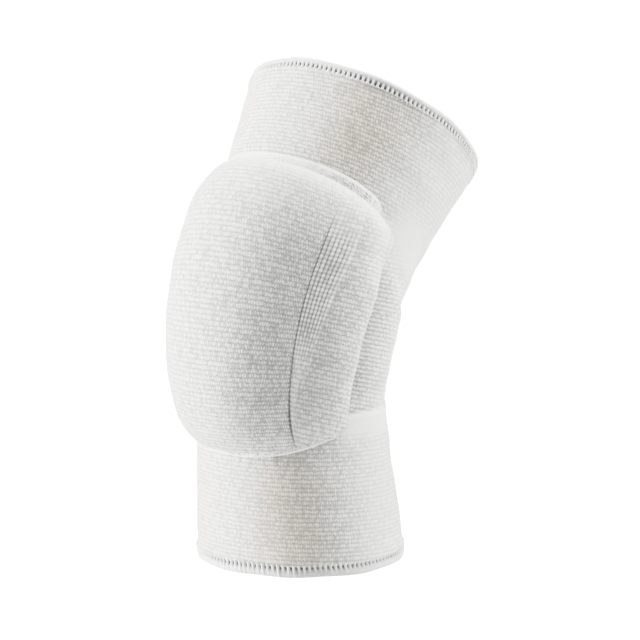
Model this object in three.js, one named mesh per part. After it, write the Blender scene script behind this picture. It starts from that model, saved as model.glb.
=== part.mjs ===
// A volleyball knee pad as it is worn: a knitted sleeve on a bent leg, with foam pads over the knee.
// Millimetres and degrees, +Z up. The origin is the middle of the knee, the front of the leg faces -Y,
// and the calf hangs down. Every piece is made square or round first and then laid on the leg.
import * as THREE from "three";

// The leg inside the sleeve
const calfLength = 117.5; // from the knee's middle to the calf hem's edge, along the leg
const thighLength = 110; // from the knee's middle to the thigh hem's edge, along the leg
const calfRadius = 50; // of the leg at the calf hem
const kneeRadius = 48; // of the leg at the knee
const thighRadius = 58; // of the leg at the thigh hem
const kneeBend = 36; // degrees that the thigh leans back from the calf
const calfLean = 3.3; // degrees that the calf leans forwards, so that its hem lies behind the knee
const bendBelow = 42; // where the bend begins, below the knee's middle
const bendAbove = 54; // where the bend ends, above it
const thighHemRise = 2; // how far the thigh hem stands higher in front than a square cut

// The knitted sleeve
const knitWall = 2.4;
const clearance = 0.3; // between pieces that touch
const hemHeight = 4.6; // the overlocked edge, along the leg
const hemWall = 3.6; // the overlocked edge, through the wall
const seamWidth = 3.4; // the sewn ridge where a cuff meets the padded middle
const seamHeight = 1.5; // how far that ridge stands off the knit in front
const seamBackShare = 0.45; // its height behind the knee, as a share of its height in front

// Where the cuffs meet the padded middle, along the leg from the knee's middle
const thighSeamFront = 57;
const thighSeamSide = 45.5;
const thighSeamBack = 8;
const calfSeamFront = 57;
const calfSeamSide = 41.5;
const calfSeamBack = 31;

// The pads
const frontPadThickness = 18;
const frontPadSpan = 44; // degrees from the middle of the front to the crease beside it
const frontPadFullness = 2.6; // how square its section is: 2 is an ellipse
const sidePadThickness = 10;
const sidePadSpan = 82; // degrees from the middle of the front to the fold behind the side pad
const sidePadFullness = 5; // how sharply it turns down at the fold
const sidePadStart = 0.72; // its height beside the gusset, as a share of its full height
const sidePadCrest = 0.7; // where it is first full, as a share of the way from the gusset to the fold
const gussetSpan = 15; // degrees that the open-knit gusset covers at its widest
const padEdge = 1.2; // thickness where a pad is sewn down
const gussetDish = 1.2; // how far the gusset sags between the pads
const creaseStep = 1.5; // how far the gusset lies below the front pad's edge at the top
const creaseStepLow = 3.5; // the same at the bottom, where the crease is deep

// How finely the surfaces are cut
const aroundLeg = 56;
const cuffRows = 5;
const middleRows = 10;
const padColumns = 20;
const padRows = 18;
const gussetColumns = 3;
const sidePadColumns = 8;

// The corners of the hem's section and of the seam ridge's: "out" through the wall and "up" along the
// leg, as shares of half the hem's sizes, and of the ridge's height and half its width.
const hemSection = [
  { out: 1, up: -0.5 },
  { out: 1, up: 0.5 },
  { out: 0.5, up: 1 },
  { out: -0.5, up: 1 },
  { out: -1, up: 0.5 },
  { out: -1, up: -0.5 },
  { out: -0.5, up: -1 },
  { out: 0.5, up: -1 },
];
const ridgeSection = [
  { out: 0, up: -1 },
  { out: 0.7, up: -0.75 },
  { out: 1, up: 0 },
  { out: 0.7, up: 0.75 },
  { out: 0, up: 1 },
];

// The leg's sections: "along" is the share of the way from the knee to a hem, and the rest are
// shares of the radius that the row names.
const legSections = [
  { along: -1.0, radius: calfRadius, front: 0.918, back: 1.064, side: 0.97 },
  { along: -0.8, radius: calfRadius, front: 0.926, back: 1.0, side: 0.942 },
  { along: -0.6, radius: calfRadius, front: 0.922, back: 0.928, side: 0.906 },
  { along: -0.4, radius: kneeRadius, front: 0.96, back: 0.905, side: 0.919 },
  { along: -0.22, radius: kneeRadius, front: 0.975, back: 0.93, side: 0.938 },
  { along: -0.08, radius: kneeRadius, front: 0.998, back: 0.98, side: 0.97 },
  { along: 0.08, radius: kneeRadius, front: 1.023, back: 0.998, side: 0.99 },
  { along: 0.22, radius: kneeRadius, front: 1.042, back: 0.99, side: 0.994 },
  { along: 0.4, radius: kneeRadius, front: 1.079, back: 1.002, side: 1.019 },
  { along: 0.6, radius: thighRadius, front: 0.929, back: 0.886, side: 0.888 },
  { along: 0.8, radius: thighRadius, front: 0.957, back: 0.967, side: 0.941 },
  { along: 1.0, radius: thighRadius, front: 0.979, back: 1.062, side: 1.0 },
];

// The pads' outlines from the calf seam (up 0) to the thigh seam (up 1), as shares of the named sizes:
// "crease" of frontPadSpan, "gusset" of gussetSpan and "fold" of sidePadSpan.
const padOutline = [
  { up: 0.0, crease: 0.99, gusset: 0.2, fold: 0.87 },
  { up: 0.15, crease: 0.93, gusset: 0.3, fold: 0.9 },
  { up: 0.35, crease: 0.95, gusset: 0.6, fold: 0.945 },
  { up: 0.55, crease: 1.0, gusset: 0.85, fold: 0.995 },
  { up: 0.75, crease: 1.06, gusset: 1.0, fold: 1.035 },
  { up: 1.0, crease: 1.1, gusset: 0.9, fold: 1.08 },
];

// How thick the pads are on the way up: "crown" and "edge" as shares of frontPadThickness, in its
// middle and at its crease, and "side" as a share of sidePadThickness.
const padFill = [
  { up: 0.0, crown: 0.12, edge: 0.06, side: 0.12 },
  { up: 0.05, crown: 0.45, edge: 0.2, side: 0.45 },
  { up: 0.12, crown: 0.76, edge: 0.32, side: 0.75 },
  { up: 0.25, crown: 0.97, edge: 0.4, side: 0.97 },
  { up: 0.45, crown: 1.0, edge: 0.45, side: 1.0 },
  { up: 0.65, crown: 0.97, edge: 0.47, side: 1.0 },
  { up: 0.82, crown: 0.87, edge: 0.48, side: 0.98 },
  { up: 0.92, crown: 0.6, edge: 0.42, side: 0.72 },
  { up: 0.97, crown: 0.33, edge: 0.25, side: 0.4 },
  { up: 1.0, crown: 0.12, edge: 0.06, side: 0.12 },
];

const white = new THREE.MeshStandardMaterial({ color: 0xe9e9e5, roughness: 0.92, metalness: 0 });
const padWhite = new THREE.MeshStandardMaterial({ color: 0xededea, roughness: 0.9, metalness: 0 });
const edgeWhite = new THREE.MeshStandardMaterial({ color: 0xe2e3df, roughness: 0.85, metalness: 0 });

const radians = THREE.MathUtils.degToRad;
const lerp = THREE.MathUtils.lerp;

// A table's column at x: a smooth curve through its rows, which are in the order of the key.
function along(table, key, column, x) {
  const last = table.length - 1;
  const at = THREE.MathUtils.clamp(x, table[0][key], table[last][key]);
  let i = 0;
  while (i < last - 1 && at > table[i + 1][key]) i++;
  const slope = (a, b) => (table[b][column] - table[a][column]) / (table[b][key] - table[a][key]);
  const tangent = (k) => slope(Math.max(k - 1, 0), Math.min(k + 1, last));
  const width = table[i + 1][key] - table[i][key];
  const t = (at - table[i][key]) / width;
  return (
    (1 + 2 * t) * (1 - t) ** 2 * table[i][column] +
    t * (1 - t) ** 2 * width * tangent(i) +
    t * t * (3 - 2 * t) * table[i + 1][column] +
    t * t * (t - 1) * width * tangent(i + 1)
  );
}
const legRadii = legSections.map(({ along, radius, front, back, side }) => ({
  along,
  front: radius * front,
  back: radius * back,
  side: radius * side,
}));

// The leg's middle line: its lean, and its place in the plane of the bend, every millimetre.
function leanAt(s) {
  return radians(kneeBend * THREE.MathUtils.smoothstep(s, -bendBelow, bendAbove) - calfLean);
}
function walk(length, direction) {
  const places = [{ y: 0, z: 0 }];
  for (let s = 0; s < length; s++) {
    const lean = leanAt(direction * (s + 0.5));
    const from = places[s];
    places.push({ y: from.y + direction * Math.sin(lean), z: from.z + direction * Math.cos(lean) });
  }
  return places;
}
const spare = 2 * hemHeight; // the line runs on past the hems
const downTheCalf = walk(calfLength + spare, -1);
const upTheThigh = walk(thighLength + spare, 1);
function middleAt(s) {
  const places = s < 0 ? downTheCalf : upTheThigh;
  const step = Math.min(Math.floor(Math.abs(s)), places.length - 2);
  const share = Math.abs(s) - step;
  const [a, b] = [places[step], places[step + 1]];
  return { y: lerp(a.y, b.y, share), z: lerp(a.z, b.z, share) };
}

// The point at length s along the leg, "angle" degrees round it from the front, "height" off the skin.
function onLeg(s, angle, height) {
  const share = s < 0 ? s / calfLength : s / thighLength;
  const [sin, cos] = [Math.sin(radians(angle)), Math.cos(radians(angle))];
  const side = along(legRadii, "along", "side", share);
  const depth = along(legRadii, "along", cos > 0 ? "front" : "back", share);
  const normal = new THREE.Vector2(sin / side, cos / depth).normalize();
  const across = side * sin + height * normal.x;
  const forwards = depth * cos + height * normal.y;
  const lean = leanAt(s);
  const middle = middleAt(s);
  return new THREE.Vector3(across, middle.y - forwards * Math.cos(lean), middle.z + forwards * Math.sin(lean));
}

// A length along the leg that changes smoothly from the front, past the side, to the back.
function roundTheLeg(angle, front, side, back) {
  const w = (1 - Math.cos(radians(angle))) / 2;
  return front * (1 - w) * (1 - 2 * w) + side * 4 * w * (1 - w) + back * w * (2 * w - 1);
}
const thighSeamAt = (angle) => roundTheLeg(angle, thighSeamFront, thighSeamSide, thighSeamBack);
const calfSeamAt = (angle) => -roundTheLeg(angle, calfSeamFront, calfSeamSide, calfSeamBack);
const thighHemAt = (angle) => thighLength + thighHemRise * Math.cos(radians(angle));
const calfHemAt = (angle) =>
  -calfLength + calfRadius * Math.tan(radians(calfLean)) * Math.cos(radians(angle)); // cut level

// The pads' edges, in degrees from the front, and the cover's height over the knit.
const creaseAt = (up) => frontPadSpan * along(padOutline, "up", "crease", up);
const gussetEndAt = (up) => creaseAt(up) + gussetSpan * along(padOutline, "up", "gusset", up);
const foldAt = (up) => sidePadSpan * along(padOutline, "up", "fold", up);
const rounded = (share, power) => Math.max(0, 1 - Math.abs(share) ** power) ** (1 / power);
function frontPadHeight(up, share) {
  const edge = frontPadThickness * along(padFill, "up", "edge", up);
  const crown = frontPadThickness * along(padFill, "up", "crown", up);
  return Math.max(padEdge, lerp(edge, crown, rounded(share, frontPadFullness)));
}
function sidePadHeight(up, share) {
  const full = sidePadThickness * along(padFill, "up", "side", up);
  const rise = lerp(sidePadStart, 1, Math.sin(Math.min(share / sidePadCrest, 1) * (Math.PI / 2)));
  return Math.max(padEdge, full * rise * rounded(share, sidePadFullness));
}
function gussetHeight(up, share) {
  const drop = lerp(creaseStepLow, creaseStep, up);
  const height = lerp(frontPadHeight(up, 1) - drop, sidePadHeight(up, 0), share);
  return Math.max(padEdge, height - gussetDish * Math.sin(share * Math.PI));
}

// Lays a square or round geometry on the leg: place() says where each of its points goes.
function lay(geometry, place) {
  const position = geometry.getAttribute("position");
  for (let i = 0; i < position.count; i++) {
    const point = place(position.getX(i), position.getY(i), position.getZ(i));
    position.setXYZ(i, point.x, point.y, point.z);
  }
  geometry.computeVertexNormals();
  return geometry;
}

// A ring round the leg with the given section. place(angle, up, out) gets the section's own up and out.
function ring(section, place) {
  const middle = 3; // the radius at which the lathe carries the section's out 0
  const profile = [...section, section[0]].map(({ out, up }) => new THREE.Vector2(middle + out, up));
  return lay(new THREE.LatheGeometry(profile, aroundLeg), (x, y, z) =>
    place(THREE.MathUtils.radToDeg(Math.atan2(x, z)), y, Math.hypot(x, z) - middle),
  );
}

// The section of a tube's wall: up from 0 to 1, and out from 0, inside, to 1, outside.
function wallSection(rows) {
  const section = [];
  for (let i = 0; i <= rows; i++) section.push({ out: 1, up: i / rows });
  for (let i = rows; i >= 0; i--) section.push({ out: 0, up: i / rows });
  return section;
}

// A pad on the knit. place(across, up, out) gets across from -1 to 1, up and out from 0 to 1. Its points
// crowd towards its edges, where it turns down steeply.
function pad(columns, rows, place) {
  const crowd = (share) => Math.sin(share * (Math.PI / 2));
  return lay(new THREE.BoxGeometry(2, 2, 1, columns, rows, 1), (x, y, z) =>
    place(crowd(x), (crowd(y) + 1) / 2, z + 0.5),
  );
}

const kneePad = new THREE.Group();
function add(name, geometry, material) {
  const mesh = new THREE.Mesh(geometry, material);
  mesh.name = name;
  kneePad.add(mesh);
}

// The cuffs and the padded middle's inner knit
const half = clearance / 2;
function knitTube(name, fromAt, toAt, rows) {
  add(
    name,
    ring(wallSection(rows), (angle, up, out) =>
      onLeg(lerp(fromAt(angle), toAt(angle), up), angle, knitWall * out),
    ),
    white,
  );
}
const hemInset = hemHeight + clearance;
knitTube("calf_cuff", (a) => calfHemAt(a) + hemInset, (a) => calfSeamAt(a) - half, cuffRows);
knitTube("knee_sleeve", (a) => calfSeamAt(a) + half, (a) => thighSeamAt(a) - half, middleRows);
knitTube("thigh_cuff", (a) => thighSeamAt(a) + half, (a) => thighHemAt(a) - hemInset, cuffRows);

// The overlocked hems
function hem(name, edgeAt, inwards) {
  const geometry = ring(hemSection, (angle, up, out) => {
    const middle = edgeAt(angle) + (inwards * hemHeight) / 2;
    return onLeg(middle + (up * hemHeight) / 2, angle, (knitWall + out * hemWall) / 2);
  });
  add(name, geometry, edgeWhite);
}
hem("calf_hem", calfHemAt, 1);
hem("thigh_hem", thighHemAt, -1);

// The sewn ridges over the joints between the cuffs and the middle
const seamFoot = knitWall + clearance;
function seamRidge(name, seamAt) {
  const geometry = ring(ridgeSection, (angle, up, out) => {
    const share = lerp(seamBackShare, 1, (1 + Math.cos(radians(angle))) / 2);
    return onLeg(seamAt(angle) + (up * seamWidth * share) / 2, angle, seamFoot + seamHeight * share * out);
  });
  add(name, geometry, edgeWhite);
}
seamRidge("calf_seam", calfSeamAt);
seamRidge("thigh_seam", thighSeamAt);

// The pads lie between the seams' ridges, each clear of its neighbour.
const seamInset = seamWidth / 2 + clearance;
function padPoint(up, angle, height) {
  const s = lerp(calfSeamAt(angle) + seamInset, thighSeamAt(angle) - seamInset, up);
  return onLeg(s, angle, seamFoot + height);
}
const angleOf = (length) => THREE.MathUtils.radToDeg(length / kneeRadius);
const padGap = angleOf(clearance);

function frontPad() {
  return pad(padColumns, padRows, (across, up, out) =>
    padPoint(up, across * creaseAt(up), out * frontPadHeight(up, across)),
  );
}
function gusset(sideSign) {
  return pad(gussetColumns, padRows, (across, up, out) => {
    const share = (1 + sideSign * across) / 2;
    const angle = lerp(creaseAt(up) + padGap, gussetEndAt(up) - padGap, share);
    return padPoint(up, sideSign * angle, out * gussetHeight(up, share));
  });
}
function sidePad(sideSign) {
  return pad(sidePadColumns, padRows, (across, up, out) => {
    const share = (1 + sideSign * across) / 2;
    return padPoint(up, sideSign * lerp(gussetEndAt(up), foldAt(up), share), out * sidePadHeight(up, share));
  });
}
add("front_pad", frontPad(), padWhite);
for (const [side, sign] of [["right", 1], ["left", -1]]) {
  add(`mesh_gusset_${side}`, gusset(sign), white);
  add(`side_pad_${side}`, sidePad(sign), padWhite);
}

export default kneePad;
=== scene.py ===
# A white volleyball knee pad, dressed round its solids.
# Lengths are in millimetres and angles in degrees until a mesh is made, which is in metres.
import math

import bmesh
import bpy
import numpy as np
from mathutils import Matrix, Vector


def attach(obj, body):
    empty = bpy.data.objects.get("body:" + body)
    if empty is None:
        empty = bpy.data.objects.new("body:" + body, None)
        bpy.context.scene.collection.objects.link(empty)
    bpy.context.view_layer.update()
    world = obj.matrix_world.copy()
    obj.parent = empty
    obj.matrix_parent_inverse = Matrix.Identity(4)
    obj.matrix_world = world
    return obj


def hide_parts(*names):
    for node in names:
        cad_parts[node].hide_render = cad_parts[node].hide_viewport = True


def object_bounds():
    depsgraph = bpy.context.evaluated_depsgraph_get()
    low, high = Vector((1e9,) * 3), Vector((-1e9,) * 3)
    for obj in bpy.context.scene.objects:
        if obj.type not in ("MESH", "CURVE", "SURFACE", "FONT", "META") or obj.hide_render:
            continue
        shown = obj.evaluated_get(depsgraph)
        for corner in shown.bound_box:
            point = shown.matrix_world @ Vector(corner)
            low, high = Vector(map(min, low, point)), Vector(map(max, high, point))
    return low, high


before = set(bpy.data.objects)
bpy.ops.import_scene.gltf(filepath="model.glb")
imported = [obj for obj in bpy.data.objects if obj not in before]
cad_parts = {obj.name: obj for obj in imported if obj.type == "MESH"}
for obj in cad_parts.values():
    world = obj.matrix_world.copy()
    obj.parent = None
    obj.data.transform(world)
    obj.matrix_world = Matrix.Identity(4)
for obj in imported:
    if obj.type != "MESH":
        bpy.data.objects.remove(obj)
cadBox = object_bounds()
metre = 0.001  # of a millimetre

# The leg that fills the pad, as its solids were laid out
leg = {
    "calfLength": 117.5,
    "thighLength": 110,
    "calfRadius": 50,
    "kneeRadius": 48,
    "thighRadius": 58,
    "kneeBend": 36,
    "calfLean": 3.3,
    "bendBelow": 42,
    "bendAbove": 54,
    "thighHemRise": 2,
    "spare": 12,
}
# along the leg, the radius it is a share of, front, back, side
legSections = [
    (-1.0, "calfRadius", 0.918, 1.064, 0.97),
    (-0.8, "calfRadius", 0.926, 1.0, 0.942),
    (-0.6, "calfRadius", 0.922, 0.928, 0.906),
    (-0.4, "kneeRadius", 0.96, 0.905, 0.919),
    (-0.22, "kneeRadius", 0.975, 0.93, 0.938),
    (-0.08, "kneeRadius", 0.998, 0.98, 0.97),
    (0.08, "kneeRadius", 1.023, 0.998, 0.99),
    (0.22, "kneeRadius", 1.042, 0.99, 0.994),
    (0.4, "kneeRadius", 1.079, 1.002, 1.019),
    (0.6, "thighRadius", 0.929, 0.886, 0.888),
    (0.8, "thighRadius", 0.957, 0.967, 0.941),
    (1.0, "thighRadius", 0.979, 1.062, 1.0),
]
seams = {
    "thighFront": 57,
    "thighSide": 45.5,
    "thighBack": 8,
    "calfFront": 57,
    "calfSide": 41.5,
    "calfBack": 31,
    "calfFrontLift": 2.6,  # how far the seam is pulled up in the middle of the front
    "calfFrontWidth": 30,
}
knit = {
    "wall": 2.4,
    "rowStep": 0.65,  # between the rows of points that its meshes are made of
    "nominalGirth": 330,
    "columnsRound": 240,
    "rowSpread": 76,  # how far from the knee the front pad's rows lie twice as wide apart
}


# A smooth curve through a table's values, as the solids use it
def curveThrough(knots, values, x):
    knots = np.asarray(knots, float)
    values = np.asarray(values, float)
    last = len(knots) - 1
    x = np.clip(x, knots[0], knots[last])
    i = np.clip(np.searchsorted(knots, x, side="left") - 1, 0, last - 1)
    before = np.maximum(np.arange(last + 1) - 1, 0)
    after = np.minimum(np.arange(last + 1) + 1, last)
    tangents = (values[after] - values[before]) / (knots[after] - knots[before])
    width = knots[i + 1] - knots[i]
    t = (x - knots[i]) / width
    return (
        (1 + 2 * t) * (1 - t) ** 2 * values[i]
        + t * (1 - t) ** 2 * width * tangents[i]
        + t * t * (3 - 2 * t) * values[i + 1]
        + t * t * (t - 1) * width * tangents[i + 1]
    )


def smoothStep(x, low, high):
    t = np.clip((x - low) / (high - low), 0, 1)
    return t * t * (3 - 2 * t)


def mix(a, b, share):
    return a + (b - a) * share


sectionPlaces = [row[0] for row in legSections]
sectionRadii = {
    side: [leg[row[1]] * row[column] for row in legSections]
    for side, column in (("front", 2), ("back", 3), ("side", 4))
}


def leanAt(s):
    return np.radians(leg["kneeBend"] * smoothStep(s, -leg["bendBelow"], leg["bendAbove"]) - leg["calfLean"])


def middleLine():
    down = int(leg["calfLength"] + leg["spare"])
    up = int(leg["thighLength"] + leg["spare"])
    places = np.arange(-down, up + 1)
    leans = leanAt(places[:-1] + 0.5)
    y = np.concatenate([[0], np.cumsum(np.sin(leans))])
    z = np.concatenate([[0], np.cumsum(np.cos(leans))])
    return places, y - y[down], z - z[down]


linePlaces, lineY, lineZ = middleLine()


# The points at length s along the leg, "angle" round it from the front, "height" off the skin
def onLeg(s, angle, height):
    s, angle, height = np.broadcast_arrays(np.asarray(s, float), angle, height)
    share = np.where(s < 0, s / leg["calfLength"], s / leg["thighLength"])
    sin = np.sin(np.radians(angle))
    cos = np.cos(np.radians(angle))
    side = curveThrough(sectionPlaces, sectionRadii["side"], share)
    front = curveThrough(sectionPlaces, sectionRadii["front"], share)
    back = curveThrough(sectionPlaces, sectionRadii["back"], share)
    depth = np.where(cos > 0, front, back)
    normalAcross = sin / side
    normalForwards = cos / depth
    size = np.hypot(normalAcross, normalForwards)
    across = side * sin + height * normalAcross / size
    forwards = depth * cos + height * normalForwards / size
    lean = leanAt(s)
    y = np.interp(s, linePlaces, lineY) - forwards * np.cos(lean)
    z = np.interp(s, linePlaces, lineZ) + forwards * np.sin(lean)
    return np.stack([across, y, z], axis=-1)


def roundTheLeg(angle, front, side, back):
    w = (1 - np.cos(np.radians(angle))) / 2
    return front * (1 - w) * (1 - 2 * w) + side * 4 * w * (1 - w) + back * w * (2 * w - 1)


def thighSeamAt(angle):
    return roundTheLeg(angle, seams["thighFront"], seams["thighSide"], seams["thighBack"])


def calfSeamAt(angle):
    lift = seams["calfFrontLift"] * np.exp(-((angle / seams["calfFrontWidth"]) ** 2))
    return lift - roundTheLeg(angle, seams["calfFront"], seams["calfSide"], seams["calfBack"])


def thighHemAt(angle):
    return leg["thighLength"] + leg["thighHemRise"] * np.cos(np.radians(angle))


def calfHemAt(angle):
    level = leg["calfRadius"] * math.tan(math.radians(leg["calfLean"]))
    return -leg["calfLength"] + level * np.cos(np.radians(angle))


# Relief of the knit: its uneven tension, and the puckers beside a seam
unevenness = {"height": 0.35, "waves": [(3, 31, 0.4), (5, -47, 2.1), (2, 19, 4.0), (7, 23, 1.3)]}


def uneven(s, angle):
    total = 0
    for turns, length, start in unevenness["waves"]:
        total = total + np.sin(np.radians(angle) * turns + s / length * math.tau + start)
    return unevenness["height"] * total / len(unevenness["waves"])


def puckers(distance, angle, reach, height, pitch):
    phase = np.radians(angle) * leg["kneeRadius"] / pitch * math.tau
    wander = 1.3 * np.sin(phase * 0.23 + 1.0) + 0.9 * np.sin(phase * 0.41 + 2.0)
    return height * np.exp(-((distance / reach) ** 2)) * np.sin(phase + wander)


# Where each point lies across the rows of stitches. They run round the leg where no lean is given, wider
# apart away from the knee, and otherwise lie in planes that lean back by it.
def acrossRows(points, s, lean):
    if lean is None:
        return knit["rowSpread"] * np.arctan(s / knit["rowSpread"])
    turn = math.radians(lean)
    return points[..., 1] * math.sin(turn) + points[..., 2] * math.cos(turn)


# Meshes
def rowsBetween(low, high, every=1):
    step = knit["rowStep"] * every
    return np.arange(math.floor(low / step), math.ceil(high / step) + 1) * step


def gridFaces(rows, columns, start, around, flip):
    wide = columns if around else columns - 1
    i, j = np.meshgrid(np.arange(rows - 1), np.arange(wide), indexing="ij")
    i = i.ravel()
    j = j.ravel()
    k = (j + 1) % columns
    quads = np.stack([i * columns + j, i * columns + k, (i + 1) * columns + k, (i + 1) * columns + j], axis=1)
    cornersU = np.stack([j, j + 1, j + 1, j], axis=1)
    if flip:
        return quads[:, ::-1] + start, cornersU[:, ::-1]
    return quads + start, cornersU


def stripFaces(first, second, around):
    following = np.roll(first, -1)
    followingSecond = np.roll(second, -1)
    quads = np.stack([first, second, followingSecond, following], axis=1)
    return quads if around else quads[:-1]


# Values from 0 to 1 for each vertex, which the knit's material reads: one is painted shade in creases, slots,
# needle holes and beside folds, one is how far its stitches are pulled smooth, which on the sides of the cuffs
# and on the seam ridge is painted light, and worn is how far it is tinted
def addMarks(mesh, marks, unmarked=0):
    for label, values in marks.items():
        full = np.concatenate([np.clip(values, 0, 1).ravel(), np.zeros(unmarked)])
        mesh.attributes.new(label, "FLOAT", "POINT").data.foreach_set("value", full)


# One closed skin over an outer and an inner grid of points, joined at their edges. Each grid comes with
# its places across the rows of stitches. Its places along them come from "across": each column's angle on
# a tube that goes right round, and each point's millimetres on a patch.
def closedSkin(name, outer, inner, across, around, material, marks):
    outerPoints, outerV = outer
    innerPoints, innerV = inner
    columns = outerPoints.shape[1]
    outerRows = outerPoints.shape[0]
    innerRows = innerPoints.shape[0]
    innerStart = outerRows * columns
    points = np.concatenate([outerPoints.reshape(-1, 3), innerPoints.reshape(-1, 3)]) * metre
    lengths = np.concatenate([outerV.ravel(), innerV.ravel()]) * metre
    outerQuads, outerU = gridFaces(outerRows, columns, 0, around, False)
    innerQuads, innerU = gridFaces(innerRows, columns, innerStart, around, True)
    line = np.arange(columns)
    bottom = stripFaces(line, innerStart + line, around)
    top = stripFaces((outerRows - 1) * columns + line, innerStart + (innerRows - 1) * columns + line, around)
    walls = [bottom, top[:, ::-1]]
    if not around:
        if outerRows != innerRows:
            raise ValueError(f"{name}: an open skin needs as many rows inside as outside")
        rows = np.arange(outerRows) * columns
        left = stripFaces(rows, innerStart + rows, False)[:, ::-1]
        right = stripFaces(rows + columns - 1, innerStart + rows + columns - 1, False)
        walls += [left, right]
    wallQuads = np.concatenate(walls)
    quads = np.concatenate([outerQuads, innerQuads, wallQuads])
    if around:
        columnOf = np.concatenate([outerU, innerU, wallQuads % columns])
        u = np.append(across, across[0] + 360)[columnOf] * knit["nominalGirth"] * metre / 360
    else:
        u = np.concatenate([across.ravel(), across.ravel()])[quads] * metre
    v = lengths[quads]
    mesh = bpy.data.meshes.new(name)
    mesh.vertices.add(len(points))
    mesh.vertices.foreach_set("co", points.ravel())
    mesh.loops.add(quads.size)
    mesh.loops.foreach_set("vertex_index", quads.ravel())
    mesh.polygons.add(len(quads))
    mesh.polygons.foreach_set("loop_start", np.arange(len(quads)) * 4)
    layer = mesh.uv_layers.new(name="knitMap")
    layer.data.foreach_set("uv", np.stack([u, v], axis=-1).ravel())
    addMarks(mesh, marks, innerRows * columns)
    mesh.update(calc_edges=True)
    mesh.validate()
    return finishSkin(name, mesh, material)


# Rows that the edge lines cut short lie on each other there, so they are merged
def finishSkin(name, mesh, material):
    build = bmesh.new()
    build.from_mesh(mesh)
    bmesh.ops.remove_doubles(build, verts=build.verts, dist=0.00002)
    bmesh.ops.dissolve_degenerate(build, edges=build.edges, dist=0.00001)
    for face in build.faces:
        face.smooth = True
    for edge in build.edges:
        if len(edge.link_faces) == 2 and edge.calc_face_angle(0) > math.radians(62):
            edge.smooth = False
    build.to_mesh(mesh)
    build.free()
    mesh.materials.append(material)
    piece = bpy.data.objects.new(name, mesh)
    bpy.context.scene.collection.objects.link(piece)
    return piece


def keep(piece, slot, *nodes):
    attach(piece, "root")
    if nodes:
        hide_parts(*nodes)
    print("made", piece.name, len(piece.data.polygons), "faces")
    return piece


# A ring round the leg whose section is one closed loop: a row of points for each corner of the section
def closedRing(name, points, angles, material, marks):
    corners, columns = points.shape[:2]
    i, j = np.meshgrid(np.arange(corners), np.arange(columns), indexing="ij")
    i = i.ravel()
    j = j.ravel()
    nextCorner = (i + 1) % corners
    nextColumn = (j + 1) % columns
    quads = np.stack(
        [i * columns + j, i * columns + nextColumn, nextCorner * columns + nextColumn, nextCorner * columns + j],
        axis=1,
    )
    steps = np.linalg.norm(np.roll(points, -1, axis=0) - points, axis=2).mean(axis=1)
    walked = np.concatenate([[0], np.cumsum(steps)]) * metre
    turn = np.append(angles, angles[0] + 360) * knit["nominalGirth"] * metre / 360
    u = turn[np.stack([j, j + 1, j + 1, j], axis=1)]
    v = walked[np.stack([i, i, i + 1, i + 1], axis=1)]
    mesh = bpy.data.meshes.new(name)
    mesh.vertices.add(corners * columns)
    mesh.vertices.foreach_set("co", (points.reshape(-1, 3) * metre).ravel())
    mesh.loops.add(quads.size)
    mesh.loops.foreach_set("vertex_index", quads.ravel())
    mesh.polygons.add(len(quads))
    mesh.polygons.foreach_set("loop_start", np.arange(len(quads)) * 4)
    layer = mesh.uv_layers.new(name="knitMap")
    layer.data.foreach_set("uv", np.stack([u, v], axis=-1).ravel())
    addMarks(mesh, marks)
    mesh.update(calc_edges=True)
    mesh.validate()
    build = bmesh.new()
    build.from_mesh(mesh)
    bmesh.ops.recalc_face_normals(build, faces=build.faces)
    for face in build.faces:
        face.smooth = True
    build.to_mesh(mesh)
    build.free()
    mesh.materials.append(material)
    piece = bpy.data.objects.new(name, mesh)
    bpy.context.scene.collection.objects.link(piece)
    return piece


# Node trees
def addNode(tree, kind, inputs=None, **settings):
    node = tree.nodes.new(kind)
    for name, value in settings.items():
        setattr(node, name, value)
    for key, value in (inputs or {}).items():
        if isinstance(value, bpy.types.NodeSocket):
            tree.links.new(value, node.inputs[key])
        else:
            node.inputs[key].default_value = value
    return node


def calc(tree, operation, a, b=0.0, c=0.0):
    return addNode(tree, "ShaderNodeMath", {0: a, 1: b, 2: c}, operation=operation).outputs[0]


def mixColour(tree, share, a, b):
    node = addNode(tree, "ShaderNodeMix", {0: share, 6: a, 7: b}, data_type="RGBA")
    return node.outputs[2]


def rgba(colour):
    return (*colour, 1.0)


whiteKnit = {
    "crest": (0.85, 0.85, 0.83),
    # The grooves' darker colour is painted shade between the stitches
    "grooveShade": (0.45, 0.45, 0.435),
    "deep": (0.16, 0.16, 0.155),  # painted shade, for creases, slots, needle holes and folds
    "tint": (0.9, 0.78, 0.66),
    "tintShare": 1.4,
    "coursePitch": 2.1,  # one row of stitches
    "walePitch": 1.2,  # half a stitch, across
    "stagger": 0.0,  # how far each row is shifted from the last, in half stitches
    "lean": 0.0,  # how far the columns lean from row to row
    "vee": 0.1,  # how far each half of a stitch slants, in rows
    "rowDepth": 0.75,
    "columnDepth": 0.5,
    "speckle": 0.9,
    "wander": 1.2,
    "fuzz": 0.6,  # how far loose fibres break up the stitches
    "smoothing": 0.85,
    "showThrough": 0.55,  # how far the rows show through the painted shade
    "bumpHeight": 0.00018,
    "bumpStrength": 0.6,
}


# A smooth wave of a node's value: 1 at whole numbers and 0 halfway between them
def wave(tree, value):
    turned = calc(tree, "COSINE", calc(tree, "MULTIPLY", value, math.tau))
    return calc(tree, "MULTIPLY_ADD", turned, 0.5, 0.5)


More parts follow.
